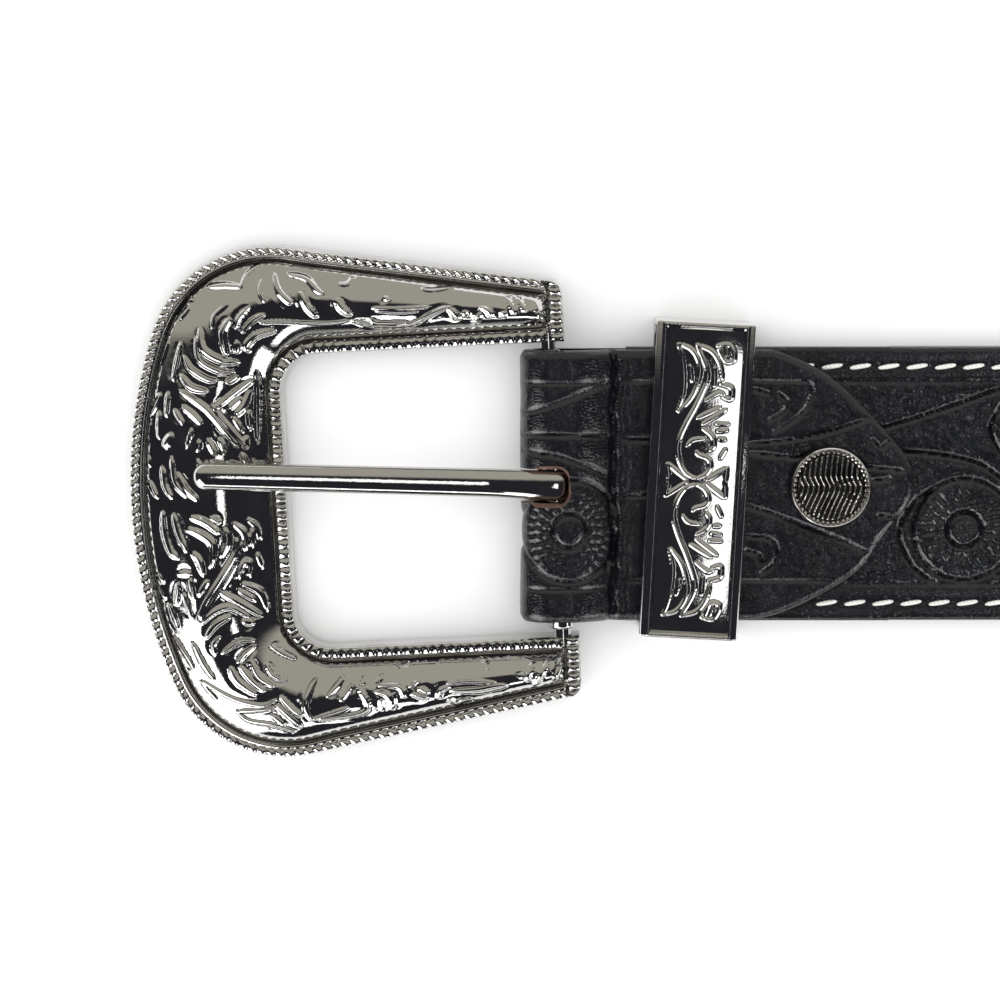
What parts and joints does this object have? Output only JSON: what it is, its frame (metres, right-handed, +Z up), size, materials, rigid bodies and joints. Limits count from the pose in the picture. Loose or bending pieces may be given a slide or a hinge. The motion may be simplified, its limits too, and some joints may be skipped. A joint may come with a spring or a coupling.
{
  "type": "western tooled leather belt",
  "caption": "Tooled black leather strap with a folded chape, a chromed scroll buckle, tongue and keeper, a ridged screw stud and a row of adjustment holes.",
  "frame": {"origin": "middle of the belt's length, on the strap's centre line, on the surface that it lies on", "axes": "+X along the belt from the buckle to the tip, +Y across the strap, +Z up out of its face"},
  "size_m": [1.1186, 0.0712, 0.0118],
  "materials": {
    "strap_leather": "tooled, satin, blue-black",
    "chape_leather": "tooled, satin, blue-black",
    "buckle_chrome": "cast relief, polished plating",
    "tongue_chrome": "polished plating",
    "keeper_chrome": "cast lines, polished plating",
    "stud_metal": "ridged plating",
    "thread": "waxed off-white sewing thread"
  },
  "bodies": {
    "strap": {"strap": "strap_leather", "buckle_chape": "chape_leather", "stud_cap": "stud_metal", "stud_screw": "stud_metal"},
    "buckle": {"buckle_frame": "buckle_chrome"},
    "tongue": {"tongue": "tongue_chrome"},
    "keeper": {"keeper": "keeper_chrome"}
  },
  "joints": [
    {"name": "buckle_swing", "type": "hinge", "parent": "strap", "child": "buckle", "pos_m": [-0.50052, -0.0006, 0.0052], "axis": [-0.0523, 0.9986, 0], "range_deg": [-90, 40]},
    {"name": "tongue_lift", "type": "hinge", "parent": "buckle", "child": "tongue", "pos_m": [-0.50052, -0.0006, 0.0052], "axis": [-0.0523, 0.9986, 0], "range_deg": [0, 65]},
    {"name": "keeper_slide", "type": "slide", "parent": "strap", "child": "keeper", "axis": [1, 0, 0], "range_m": [-0.0034, 0.0052]}
  ]
}
